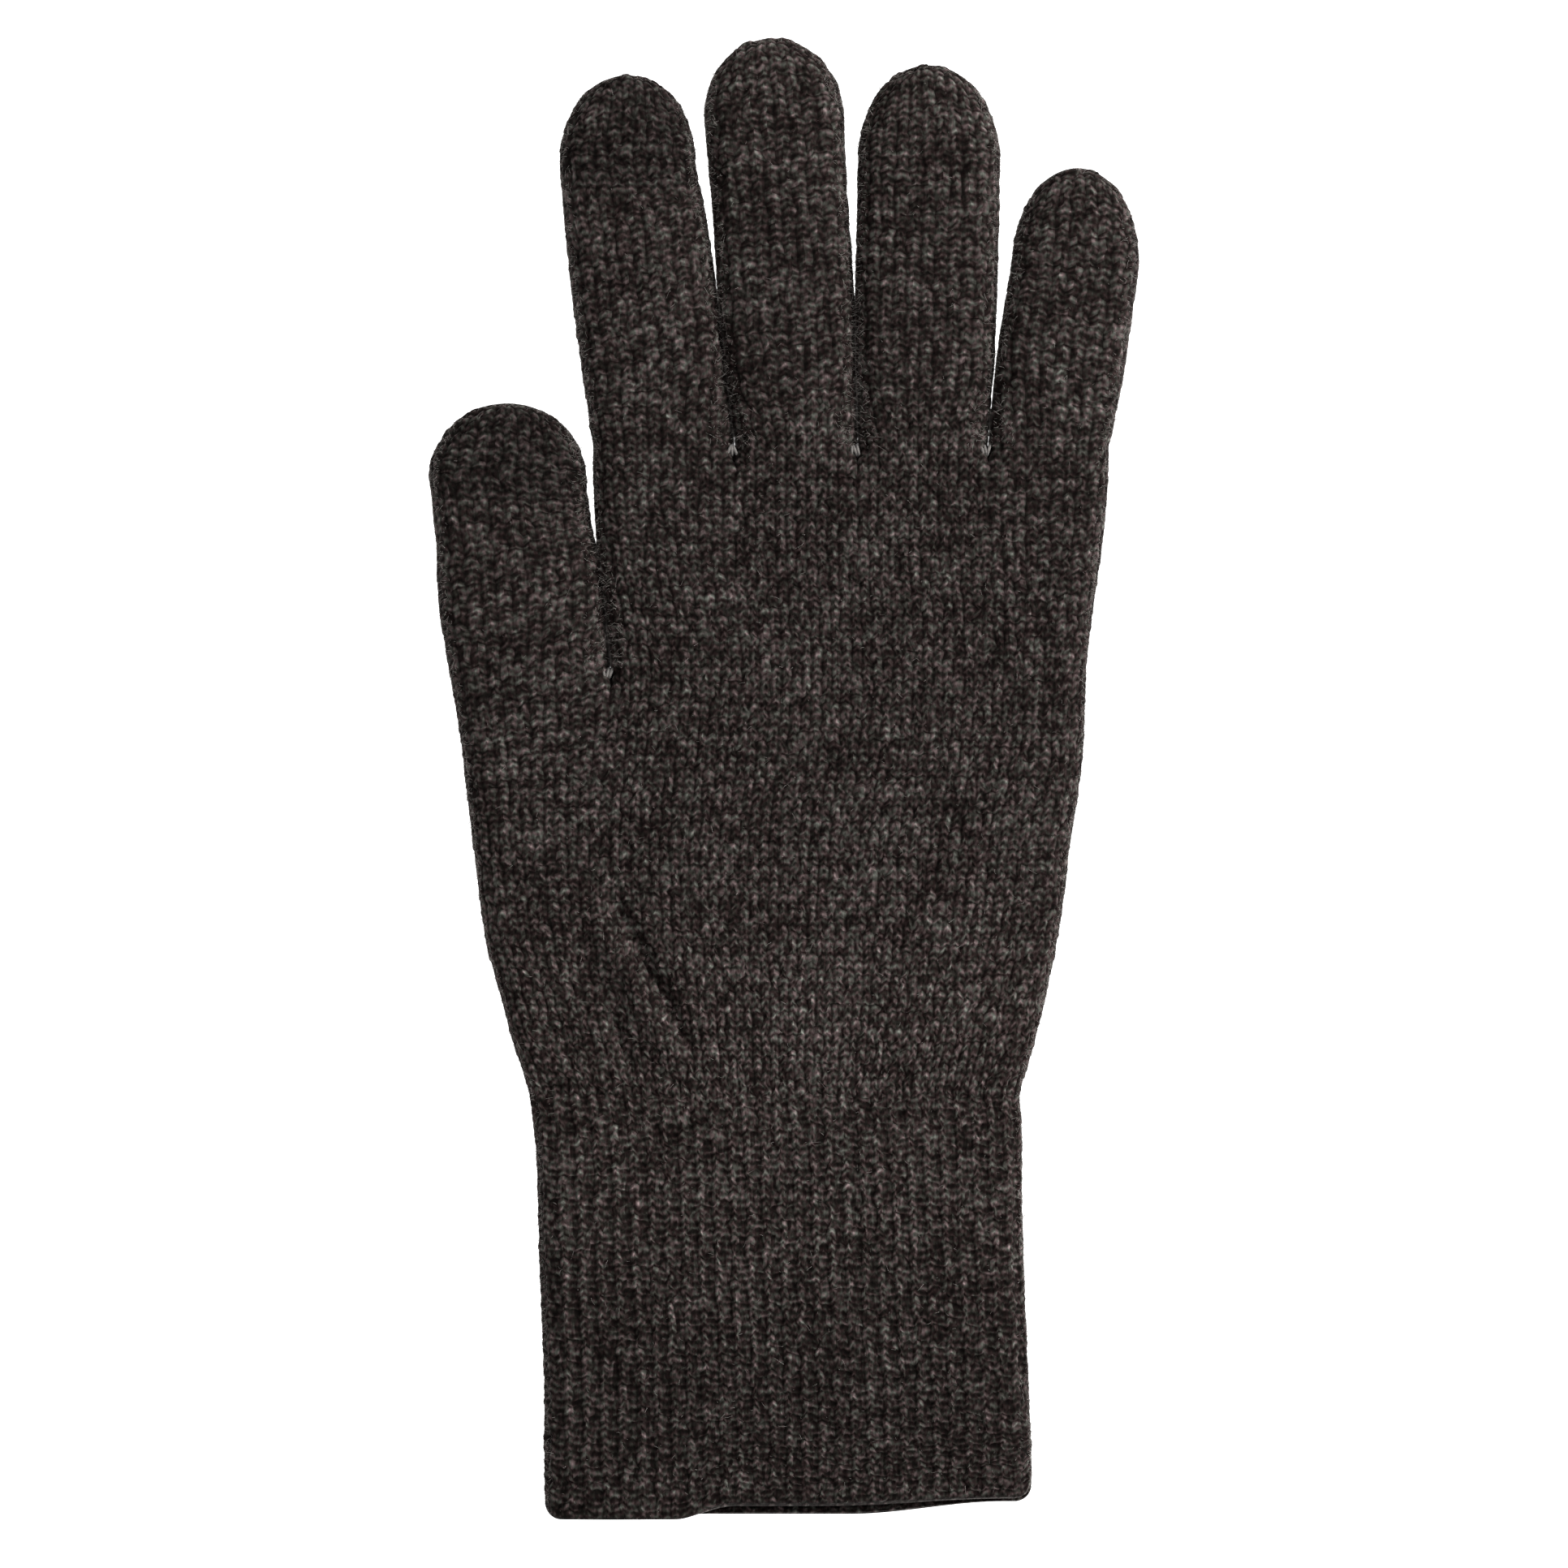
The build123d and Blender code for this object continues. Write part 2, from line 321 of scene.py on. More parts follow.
def knitted(plain, first_course, rib=None, seam=False, still=()):
    """A tube of fabric: the yarn's relief on a plain grid of rows, and its inner wall. A tube
    with a seam is closed at its last row; the columns in still are left flat in that row."""
    rows, columns = plain.shape[:2]
    half = columns // 2
    wale = np.arange(columns) / WALE_CUTS
    course = first_course + np.arange(rows) / COURSE_CUTS
    share = np.zeros(rows) if rib is None else rib
    height = stitch_relief(wale[None, :], course[:, None], share[:, None])
    height = height * (1 + STITCH_CHANGE * scattered(rows, columns, first_course + 1))
    step = np.where(np.floor(wale) % 2 == 0, 1.0, -1.0)
    step = step * np.abs(np.sin(math.pi * wale)) ** LOOP_POWER
    push = YARN_DEPTH * (height - RELIEF_MIDDLE) + RIB_STEP * step[None, :] * share[:, None]
    if rib is not None:
        push *= ease(course / WELT_COURSES)[:, None]
    if seam:
        last_courses = (np.arange(rows) - rows + 1 + 2 * COURSE_CUTS) / (2 * COURSE_CUTS)
        push *= 1 - ease(last_courses)[:, None]
    push[-1, list(still)] = 0
    lift = ease((plain[:, :, 2] - SIDE_HEIGHT) / SETTLE_RISE)
    lift *= settled(plain[:, :, 0], plain[:, :, 1])
    lift[:, half:] = 0
    base = plain + lift[:, :, None] * np.array([0, 0, 1.0])
    inside = np.minimum(wale, np.abs(wale - half / WALE_CUTS))
    inside = ease(np.minimum(inside, columns / WALE_CUTS - wale) / 2)[None, :]
    inside = SIDE_SHARE + (1 - SIDE_SHARE) * inside
    base[:, :, 0] += STITCH_SHIFT * scattered(rows, columns, first_course + 2) * inside
    base[:, :, 1] += STITCH_SHIFT * scattered(rows, columns, first_course + 3)
    moved = base + outward(base) * (push * inside)[:, :, None]
    moved[:, :, 2] = np.maximum(moved[:, :, 2], LOWEST_YARN)
    near = np.arange(columns)
    near = np.where(near <= half, np.clip(near, WALE_CUTS, half - WALE_CUTS),
                    np.clip(near, half + WALE_CUTS, columns - WALE_CUTS))
    middle = (base + base[:, -np.arange(columns) % columns]) / 2
    middle = middle[:, near]
    inner = middle + (base - middle) * INNER_SHARE
    if seam:
        inner[-1] = middle[-1 - COURSE_CUTS]
    return {"plain": plain, "moved": moved, "inner": inner, "first": first_course, "seam": seam}


def shaded(tube, parent=None, branches=()):
    """Adds the normals of a tube's surface, carried on over the rows of the tubes it joins."""
    grid = tube["moved"]
    below = [parent["moved"][-2:-1, tube["taken"]]] if parent else []
    above = grid[-1:].copy()
    for branch in branches:
        above[0, branch["taken"]] = branch["moved"][1]
    normal = outward(np.concatenate([*below, grid, above] if branches else [*below, grid]))
    normal = normal[len(below):len(below) + len(grid)]
    if tube["seam"]:
        both = normal[-1] + normal[-1][-np.arange(grid.shape[1]) % grid.shape[1]]
        normal[-1] = both / np.maximum(np.linalg.norm(both, axis=1, keepdims=True), 1e-9)
    tube["shade"] = normal


def cells(tube, *areas):
    """The stitches of a tube in some areas: first and last course, and the wales if not all."""
    rows, columns = tube["moved"].shape[:2]
    plan = np.zeros(((rows - 1) // COURSE_CUTS, columns // WALE_CUTS), bool)
    for first, last, *wales in areas:
        plan[first:last, slice(*wales or [None])] = True
    return plan


# Stray fibres stand off the yarn, thickest along the folded sides and the closed tips.
HAIR_SIDE = 2.0
HAIR_TIP = 2
HAIRS_AT_SIDE = 5.5
HAIRS_ELSEWHERE = 0.1
HAIR_SPREAD = 0.55
HAIR_BEND = 0.45
HAIR_LENGTH = (0.35, 1.25)
HAIR_ROOT = 0.05
HAIR_RADIUS = 0.027
HAIR_TAPER = 0.6
HAIR_LOWEST = 0.03
HAIR_ASKEW = (0.3, 0.2, 0.1)


def hairs(tube, course, wale):
    """The stray fibres of some stitches, as thin three-sided spikes: their points, in
    millimetres, the corners of their faces, and how many corners each face has."""
    dice = np.random.default_rng(tube["first"] * 1000 + len(course))
    rows, columns = tube["moved"].shape[:2]
    around, top = columns // WALE_CUTS, (rows - 1) // COURSE_CUTS
    side = np.minimum(wale, around - 1 - wale)
    side = np.minimum(side, np.abs(wale + 0.5 - around / 2) - 0.5)
    rate = np.where(side < HAIR_SIDE, HAIRS_AT_SIDE, HAIRS_ELSEWHERE)
    if tube["seam"]:
        rate = np.where(top - course <= HAIR_TIP, HAIRS_AT_SIDE / 2, rate)
    picked = np.repeat(np.arange(len(course)), dice.poisson(rate))
    row = course[picked] * COURSE_CUTS + dice.integers(0, COURSE_CUTS, len(picked))
    column = (wale[picked] * WALE_CUTS + dice.integers(0, WALE_CUTS, len(picked))) % columns
    root, normal = tube["moved"][row, column], tube["shade"][row, column]
    way = normal + HAIR_SPREAD * dice.standard_normal(root.shape)
    way /= np.linalg.norm(way, axis=1, keepdims=True)
    bend = HAIR_BEND * dice.standard_normal(root.shape)
    length = dice.uniform(*HAIR_LENGTH, len(picked))[:, None]
    beside = np.cross(way, normal + HAIR_ASKEW)
    beside /= np.linalg.norm(beside, axis=1, keepdims=True)
    across = np.cross(way, beside)
    points = []
    for t in (0.0, 0.5, 1.0):
        centre = root - HAIR_ROOT * normal + length * (way * t + bend * t**2)
        radius = HAIR_RADIUS * (1 - HAIR_TAPER * t)
        for turn in (0, 2 * math.pi / 3, 4 * math.pi / 3):
            points.append(centre + radius * (beside * math.cos(turn) + across * math.sin(turn)))
    points = np.stack(points, 1)
    points[:, :, 2] = np.maximum(points[:, :, 2], HAIR_LOWEST)
    walls = [(3 * k + j, 3 * k + (j + 1) % 3, 3 * k + 3 + (j + 1) % 3, 3 * k + 3 + j)
             for k in (0, 1) for j in (0, 1, 2)]
    faces = np.array([point for wall in walls for point in wall] + [2, 1, 0, 6, 7, 8])
    corners = (np.arange(len(picked))[:, None] * 9 + faces).ravel()
    return points.reshape(-1, 3), corners, np.tile([4] * 6 + [3, 3], len(picked))


def fabric(name, tube, plan, material):
    """A closed piece of the tube's fabric: the stitches of the plan, their inner wall, the cut
    edges between the two, and the stray fibres."""
    rows, columns = tube["moved"].shape[:2]
    course, wale = np.nonzero(plan)
    low, left = course * COURSE_CUTS, wale * WALE_CUTS
    across, along = np.arange(WALE_CUTS + 1), np.arange(COURSE_CUTS + 1)
    step_row, step_column = (a.ravel() for a in np.meshgrid(along[:-1], across[:-1], indexing="ij"))
    row = (low[:, None] + step_row).ravel()
    column = (left[:, None] + step_column).ravel()
    quad_rows = np.stack([row, row, row + 1, row + 1], 1)
    quad_columns = np.stack([column, column + 1, column + 1, column], 1)
    top, right = low + COURSE_CUTS, left + WALE_CUTS
    loops = [(quad_rows, quad_columns, np.zeros_like(quad_rows)),
             (np.stack([low, top, top, low], 1), np.stack([left, left, right, right], 1),
              np.ones((len(low), 4), int))]
    padded = np.pad(plan, ((1, 1), (0, 0)))
    open_below = ~padded[course, wale]
    open_above = ~padded[course + 2, wale]
    if tube["seam"]:
        open_above &= course < len(plan) - 1
    open_left = ~plan[course, wale - 1]
    open_right = ~plan[course, (wale + 1) % plan.shape[1]]
    fixed = np.zeros(len(across), int)
    rims = [(open_below, fixed, across[::-1], (0, 0), (0, 1)),
            (open_above, fixed + COURSE_CUTS, across, (1, 1), (1, 0)),
            (open_left, along, np.zeros(len(along), int), (1, 0), (0, 0)),
            (open_right, along[::-1], np.full(len(along), WALE_CUTS), (0, 1), (1, 1))]
    for edge, rim_row, rim_column, inner_row, inner_column in rims:
        if edge.any():
            r = np.concatenate([low[edge][:, None] + rim_row,
                                low[edge][:, None] + np.array(inner_row) * COURSE_CUTS], 1)
            c = np.concatenate([left[edge][:, None] + rim_column,
                                left[edge][:, None] + np.array(inner_column) * WALE_CUTS], 1)
            loops.append((r, c, np.broadcast_to([0] * len(rim_row) + [1, 1], r.shape)))
    sizes = np.concatenate([np.full(len(r), r.shape[1]) for r, c, layer in loops])
    corner_row, corner_column, layer = (np.concatenate([part[i].ravel() for part in loops])
                                        for i in range(3))
    turned = corner_column % columns
    if tube["seam"]:
        turned = np.where(corner_row == rows - 1, np.minimum(turned, columns - turned), turned)
    place = (layer * rows + corner_row) * columns + turned
    used, corner = np.unique(place, return_inverse=True)
    points = np.concatenate([tube["moved"].reshape(-1, 3), tube["inner"].reshape(-1, 3)])[used]
    knit_faces = len(sizes)
    hair_points, hair_corners, hair_sizes = hairs(tube, course, wale)
    corner = np.concatenate([corner, hair_corners + len(points)])
    points = np.concatenate([points * MM, hair_points * MM])
    sizes = np.concatenate([sizes, hair_sizes])
    first_corner = np.concatenate([[0], np.cumsum(sizes)[:-1]])
    mesh = bpy.data.meshes.new(name)
    mesh.vertices.add(len(points))
    mesh.vertices.foreach_set("co", points.ravel().astype(np.float32))
    mesh.loops.add(len(corner))
    mesh.loops.foreach_set("vertex_index", corner.astype(np.int32))
    mesh.polygons.add(len(sizes))
    mesh.polygons.foreach_set("loop_start", first_corner.astype(np.int32))
    face = np.arange(len(sizes))
    mesh.polygons.foreach_set("use_smooth", face < len(quad_rows))
    mesh.polygons.foreach_set("material_index", (face >= knit_faces).astype(np.int32))
    mesh.update(calc_edges=True)
    cell_wale = [np.repeat(wale, len(step_row)), wale] + [wale[edge] for edge, *rest in rims]
    shift = np.repeat(tube["shift"][np.concatenate(cell_wale)], sizes[:knit_faces])
    knit = [corner_column / WALE_CUTS + shift, tube["first"] + corner_row / COURSE_CUTS]
    knit = np.stack(knit, 1)
    knit = np.concatenate([knit, np.zeros((len(hair_corners), 2))])
    mesh.uv_layers.new(name="knit").data.foreach_set("uv", knit.ravel().astype(np.float32))
    normal = np.zeros((len(corner), 3))
    normal[:quad_rows.size] = tube["shade"][corner_row, corner_column % columns][:quad_rows.size]
    mesh.normals_split_custom_set(normal)
    mesh.materials.append(material)
    mesh.materials.append(stray_fibre)
    piece = bpy.data.objects.new(name, mesh)
    bpy.context.scene.collection.objects.link(piece)
    return piece


def put(tree, kind, inputs=None, **settings):
    """Adds a shader node; an input is either a value or another node's socket."""
    node = tree.nodes.new(kind)
    for key, value in settings.items():
        setattr(node, key, value)
    for key, value in (inputs or {}).items():
        if isinstance(value, bpy.types.NodeSocket):
            tree.links.new(value, node.inputs[key])
        else:
            node.inputs[key].default_value = value
    return node


def maths(tree, operation, *values, clamp=False):
    """A Math node's result."""
    inputs = dict(enumerate(values))
    return put(tree, "ShaderNodeMath", inputs, operation=operation, use_clamp=clamp).outputs[0]


def mixed(tree, factor, a, b, blend="MIX"):
    """A colour Mix node's result."""
    inputs = {"Factor": factor, "A": a, "B": b}
    node = put(tree, "ShaderNodeMix", inputs, data_type="RGBA", blend_type=blend)
    return node.outputs["Result"]


def noise(tree, vector, scale, detail, rough=0.5):
    """A noise texture's value."""
    inputs = {"Vector": vector, "Scale": scale, "Detail": detail, "Roughness": rough}
    return put(tree, "ShaderNodeTexNoise", inputs).outputs[0]


def ramp(tree, value, stops, smooth="LINEAR"):
    """A Color Ramp's result, through (position, colour) stops."""
    node = put(tree, "ShaderNodeValToRGB", {0: value})
    node.color_ramp.interpolation = smooth
    marks = node.color_ramp.elements
    marks[0].position, marks[0].color = stops[0][0], (*stops[0][1], 1)
    marks[1].position, marks[1].color = stops[-1][0], (*stops[-1][1], 1)
    for position, colour in stops[1:-1]:
        marks.new(position).color = (*colour, 1)
    return node.outputs[0]


def group(name, inputs, outputs):
    """An empty node group with its inputs and outputs."""
    tree = bpy.data.node_groups.new(name, "ShaderNodeTree")
    for label, kind in inputs:
        tree.interface.new_socket(label, in_out="INPUT", socket_type=kind)
    for label, kind in outputs:
        tree.interface.new_socket(label, in_out="OUTPUT", socket_type=kind)
    return tree, put(tree, "NodeGroupInput").outputs, put(tree, "NodeGroupOutput").inputs


def wave(tree, turns):
    """A cosine between 0 and 1 that is 1 at each whole number."""
    cosine = maths(tree, "COSINE", maths(tree, "MULTIPLY", turns, 2 * math.pi))
    return maths(tree, "MULTIPLY_ADD", cosine, 0.5, 0.5)


FLOAT, VECTOR, COLOUR = "NodeSocketFloat", "NodeSocketVector", "NodeSocketColor"
FIBRES_ALONG = 1.5
FIBRES_ACROSS = 3.0


def stitch_group():
    """Where a point lies in its stitch: yarn height, a random tone per leg, yarn-wise place."""
    tree, given, made = group("stitch", [("Knit", VECTOR), ("Rib", FLOAT)],
                              [("Height", FLOAT), ("Tone", FLOAT), ("Yarn place", VECTOR)])
    place = put(tree, "ShaderNodeSeparateXYZ", {0: given["Knit"]}).outputs
    wale, course = place[0], place[1]
    part = maths(tree, "FRACT", wale)
    spread = maths(tree, "ABSOLUTE", maths(tree, "MULTIPLY_ADD", part, 2.0, -1.0))
    across = maths(tree, "MULTIPLY_ADD", spread, LEG_DROP, course)
    round_yarn = wave(tree, across)
    bulge = maths(tree, "SINE", maths(tree, "MULTIPLY", part, math.pi))
    floor = maths(tree, "MULTIPLY_ADD", given["Rib"], RIB_FLOOR, LOOP_FLOOR)
    above = maths(tree, "SUBTRACT", 1.0, floor)
    arch = maths(tree, "POWER", maths(tree, "ABSOLUTE", bulge), LOOP_POWER)
    loop = maths(tree, "MULTIPLY_ADD", arch, above, floor)
    crown = maths(tree, "MULTIPLY_ADD", round_yarn, COURSE_SHARE, 1 - COURSE_SHARE)
    bright = maths(tree, "MULTIPLY", loop, crown)
    between = maths(tree, "SUBTRACT", 1.0, round_yarn)
    split = maths(tree, "MULTIPLY", wave(tree, maths(tree, "MULTIPLY", part, 2.0)), between)
    plain = maths(tree, "MULTIPLY_ADD", split, -LEG_SPLIT, bright)
    half = maths(tree, "FRACT", maths(tree, "MULTIPLY", wale, 0.5))
    behind = maths(tree, "MULTIPLY", maths(tree, "GREATER_THAN", half, 0.5), given["Rib"])
    crest = wave(tree, maths(tree, "ADD", course, PURL_DROP))
    ridge = maths(tree, "MULTIPLY", crest, PURL_SHARE)
    rounded = maths(tree, "MULTIPLY_ADD", bulge, PURL_BULGE, 1 - PURL_BULGE)
    purl = maths(tree, "MULTIPLY", ridge, rounded)
    either = {"Factor": behind, "A": plain, "B": purl}
    height = put(tree, "ShaderNodeMix", either, data_type="FLOAT").outputs[0]
    tree.links.new(height, made["Height"])
    leg = maths(tree, "FLOOR", maths(tree, "MULTIPLY", wale, 2.0))
    turn = maths(tree, "FLOOR", maths(tree, "ADD", across, 0.5))
    cell = put(tree, "ShaderNodeCombineXYZ", {0: leg, 1: turn}).outputs[0]
    tone = put(tree, "ShaderNodeTexWhiteNoise", {"Vector": cell}, noise_dimensions="2D")
    tree.links.new(tone.outputs["Value"], made["Tone"])
    along = maths(tree, "MULTIPLY", across, FIBRES_ALONG)
    beside = maths(tree, "MULTIPLY", wale, FIBRES_ACROSS)
    yarn = put(tree, "ShaderNodeCombineXYZ", {0: along, 1: beside})
    tree.links.new(yarn.outputs[0], made["Yarn place"])
    return tree


# The heather: layers of noise that lay pale and dark fibres side by side, each with the place
# it is read by, how that is stretched, its scale, detail, roughness and weight.
HEATHER_LAYERS = {"speck": ("Place", (1.0, 0.7, 1.0), 980.0, 1.0, 0.5, 0.7),
                  "grain": ("Place", (1.0, 0.6, 1.0), 1700.0, 1.0, 0.6, 0.38),
                  "streak": ("Knit", (0.5, 0.8, 1.0), 1.0, 1.0, 0.6, 0.16),
                  "band": ("Knit", (0.09, 0.42, 1.0), 1.0, 2.0, 0.5, 0.26),
                  "patch": ("Place", (1.0, 1.0, 1.0), 75.0, 2.0, 0.5, 0.15)}
FIBRE_WEIGHT = 0.35
LEG_TONE = 0.28
# Painted shade: the fibres' tone is pushed down where the yarn lies low between stitches and up on
# its crests.
RELIEF_SHADE_WEIGHT = 0.2
FIBRE_COLOURS = ((0.16, (0.0052, 0.0033, 0.0031)), (0.36, (0.0135, 0.0097, 0.0088)),
                 (0.5, (0.0305, 0.0248, 0.0227)), (0.62, (0.0605, 0.0530, 0.0495)),
                 (0.78, (0.120, 0.109, 0.1035)), (0.98, (0.290, 0.270, 0.258)))
HUE_SCALE = 1400.0
HUE_CONTRAST = 4.0
COOL_FIBRE = (0.92, 1.03, 0.94, 1)
WARM_FIBRE = (1.21, 0.97, 1.01, 1)
# Painted shade: the colour's brightness in the deepest hollow of a stitch, and how much it rises
# towards the yarn's crest.
VALLEY_SHADE_LEVEL = 0.68
VALLEY_SHADE_RISE = 0.5
# A tone along the glove's length, as (place from the hem to the top, factor), with its overall
# gain: it rises from the hem to its lightest a third of the way up, then is a little darker over
# the hand.
LENGTH_TONE_GAIN = 1.4
LENGTH_TONES = ((0.0, 0.70), (0.10, 0.69), (0.16, 0.80), (0.22, 0.87), (0.30, 0.92), (0.36, 1.0),
       (0.40, 0.86), (0.46, 0.78), (0.70, 0.75), (0.82, 0.74), (0.90, 0.80), (1.0, 0.85))
FUZZ_FIBRE = 0.6
FUZZ_SPECK = 0.5


def heather_group():
    """Heather wool: dark grey-brown yarn spun from black, brown and pale fibres, with painted shade
    in the hollows between the yarns and a tone that changes along the glove's length.
    """
    tree, given, made = group("heather", [("Knit", VECTOR), ("Place", VECTOR), ("Height", FLOAT),
                                          ("Tone", FLOAT), ("Yarn place", VECTOR),
                                          ("Level", FLOAT)],
                              [("Colour", COLOUR), ("Fuzz", FLOAT)])

    def weighed(source, middle, weight, value):
        return maths(tree, "MULTIPLY_ADD", maths(tree, "SUBTRACT", source, middle), weight, value)

    fibre = noise(tree, given["Yarn place"], scale=1.0, detail=1.0, rough=0.6)
    value = weighed(fibre, 0.5, FIBRE_WEIGHT, 0.5)
    layers = {}
    for label, (socket, stretch, scale, detail, rough, weight) in HEATHER_LAYERS.items():
        inputs = {0: given[socket], 1: stretch}
        place = put(tree, "ShaderNodeVectorMath", inputs, operation="MULTIPLY").outputs[0]
        layers[label] = noise(tree, place, scale, detail, rough)
        value = weighed(layers[label], 0.5, weight, value)
    value = weighed(given["Tone"], 0.5, LEG_TONE, value)
    # Painted shade: darker where the yarn lies low between the stitches, lighter on its crests.
    value = weighed(given["Height"], RELIEF_MIDDLE, RELIEF_SHADE_WEIGHT, value)
    colour = ramp(tree, value, FIBRE_COLOURS)
    hue = maths(tree, "SUBTRACT", noise(tree, given["Place"], HUE_SCALE, detail=0.0), 0.5)
    warm = maths(tree, "MULTIPLY_ADD", hue, HUE_CONTRAST, 0.5, clamp=True)
    tint = mixed(tree, warm, COOL_FIBRE, WARM_FIBRE)
    tinted = mixed(tree, 1.0, colour, tint, "MULTIPLY")
    # More painted shade: the whole colour is dimmed in the hollows between the yarns.
    valley_shade = maths(tree, "MULTIPLY_ADD", given["Height"], VALLEY_SHADE_RISE, VALLEY_SHADE_LEVEL)
    # The colour is made darker or lighter along the glove's length, read from the place between the
    # model's lowest and highest y.
    up = put(tree, "ShaderNodeSeparateXYZ", {0: given["Place"]}).outputs[1]
    ends = {"Value": up, "From Min": cad_low[1], "From Max": cad_high[1]}
    length = put(tree, "ShaderNodeMapRange", ends).outputs[0]
    length_tone = ramp(tree, length, [(at, (tone, tone, tone)) for at, tone in LENGTH_TONES], "B_SPLINE")
    toned_level = maths(tree, "MULTIPLY", maths(tree, "MULTIPLY", length_tone, LENGTH_TONE_GAIN), given["Level"])
    level = maths(tree, "MULTIPLY", valley_shade, toned_level)
    grey = put(tree, "ShaderNodeCombineColor", {0: level, 1: level, 2: level}).outputs[0]
    tree.links.new(mixed(tree, 1.0, tinted, grey, "MULTIPLY"), made["Colour"])
    fuzz = maths(tree, "MULTIPLY", layers["speck"], FUZZ_SPECK)
    tree.links.new(maths(tree, "MULTIPLY_ADD", fibre, FUZZ_FIBRE, fuzz), made["Fuzz"])
    return tree


stitch_tree, heather_tree = stitch_group(), heather_group()

FUZZ_HEIGHT = 0.8
YARN_BUMP = {"Strength": 0.6, "Distance": 0.00025}
WOOL_FINISH = {"Roughness": 0.92, "Specular IOR Level": 0.06, "Sheen Weight": 0.35,
               "Sheen Roughness": 0.22, "Sheen Tint": (0.75, 0.68, 0.64, 1)}


def new_material(name, finish):
    """A material whose shader has the given inputs: its node tree and shader too."""
    material = bpy.data.materials.new(name)
    material.use_nodes = True
    shader = material.node_tree.nodes["Principled BSDF"]
    for key, value in finish.items():
        shader.inputs[key].default_value = value
    return material, material.node_tree, shader


def knit_material(name, rib, level):
    """Heather yarn, knitted plain (rib 0) or in rib (rib 1)."""
    material, tree, shader = new_material(name, WOOL_FINISH)
    knit = put(tree, "ShaderNodeUVMap", uv_map="knit").outputs[0]
    place = put(tree, "ShaderNodeTexCoord").outputs["Object"]
    stitch = put(tree, "ShaderNodeGroup", node_tree=stitch_tree)
    tree.links.new(knit, stitch.inputs["Knit"])
    stitch.inputs["Rib"].default_value = rib
    wool = put(tree, "ShaderNodeGroup", node_tree=heather_tree)
    tree.links.new(knit, wool.inputs["Knit"])
    tree.links.new(place, wool.inputs["Place"])
    for socket in ("Height", "Tone", "Yarn place"):
        tree.links.new(stitch.outputs[socket], wool.inputs[socket])
    wool.inputs["Level"].default_value = level
    tree.links.new(wool.outputs["Colour"], shader.inputs["Base Color"])
    height = maths(tree, "MULTIPLY_ADD", wool.outputs["Fuzz"], FUZZ_HEIGHT,
                   stitch.outputs["Height"])
    bump = put(tree, "ShaderNodeBump", {"Height": height, **YARN_BUMP})
    tree.links.new(bump.outputs[0], shader.inputs["Normal"])
    return material


STRAY_FIBRE = {"Base Color": (0.30, 0.275, 0.255, 1), "Roughness": 0.8}
stray_fibre = new_material("stray_fibre", STRAY_FIBRE)[0]
yarns = {"rib_knit": knit_material("rib_knit", rib=1.0, level=0.62)}


def knit_piece(name, tube, plan, slot, node, body=None):
    """A piece of fabric in one yarn, which takes the place of a node of the assembly."""
    piece = fabric(name, tube, plan, yarns[slot])
    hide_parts(node)
    if body:
        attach(piece, body)
    return piece


def bent(piece, parent, child, place, reach):
    """Bakes a piece's placement into its mesh; the two bodies, the place and the reach it is given
    are not used.
    """
    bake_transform(piece)


WRIST_BEND = (np.array([0, -57.5]), np.array([0, -9.5]))

courses = np.concatenate([course_lines(hem_low[1] + HEM_START, hem_high[1], WELT_COURSES),
                          course_lines(hem_high[1], wrist, cuff_courses),
                          course_lines(wrist, thumb_fork, palm_courses), [thumb_fork]])
notch_columns = (THUMB_WALES * WALE_CUTS, (2 * CUFF_WALES - THUMB_WALES) * WALE_CUTS)
hand_base = np.array([hand_row(y) for y in courses])
wrist_course = WELT_COURSES + cuff_courses
thumb_course = wrist_course + palm_courses
RIB_RUN = 0.6
rib_share = ease(wrist_course + RIB_RUN - np.arange(len(courses)) / COURSE_CUTS)
hand = knitted(hand_base, 0, rib_share, still=notch_columns)
hand["shift"] = np.zeros(2 * CUFF_WALES, int)
shaded(hand)

front, around = CUFF_WALES, 2 * CUFF_WALES
knit_piece("cuff_hem_welt", hand, cells(hand, (0, WELT_COURSES)), "rib_knit", "cuff_hem", "cuff")
for side, left, right in (("back", 0, front), ("palm", front, around)):
    wall = cells(hand, (WELT_COURSES, wrist_course, left, right))
    piece = knit_piece(f"cuff_{side}", hand, wall, "rib_knit", "cuff")
    bent(piece, "hand", "cuff", *WRIST_BEND)


# ---- Branches of the tube -----------------------------------------------------------------
# Above the wrist the same tube is knitted plain. It divides at the thumb and again at the four
# fingers: each branch picks up the stitches of the row below it, narrows to a tube of its own,
# and is closed over its round tip with a bound-off edge.

HAND_SETTLING = 26
THUMB_SETTLING = 14
FINGER_SETTLING = 12
TIP_SAMPLES = 400
LEAN_START = 13
LEAN_END = 12
ROOT_LENGTH = 3.5
ROOT_SWELL = 0.1
FINGER_CREST = 8.7


def branch(parent, first_wale, last_wale):
    """The columns of a tube's last row that a narrower tube grows from, between two wales."""
    a, b, columns = first_wale * WALE_CUTS, last_wale * WALE_CUTS, parent["plain"].shape[1]
    return np.concatenate([np.arange(a, b + 1), np.arange(columns - b + 1, columns - a)]) % columns


def grown(parent, taken, plain, courses, **knitting):
    """A tube knitted on from a parent's last row, with that row's stitches and wale numbers, whose
    plain grid eases into its own shape over some courses."""
    gap = parent["plain"][-1][taken] - plain[0]
    fade = 1 - ease(np.arange(len(plain)) / (courses * COURSE_CUTS))
    first_course = parent["first"] + (len(parent["plain"]) - 1) // COURSE_CUTS
    tube = knitted(plain + gap[None] * fade[:, None, None], first_course, **knitting)
    for layer in ("moved", "inner"):
        tube[layer][0] = parent[layer][-1][taken]
    cell = taken[::WALE_CUTS] // WALE_CUTS
    tube["shift"] = parent["shift"][cell] + cell - np.arange(len(cell))
    tube["taken"] = taken
    return tube


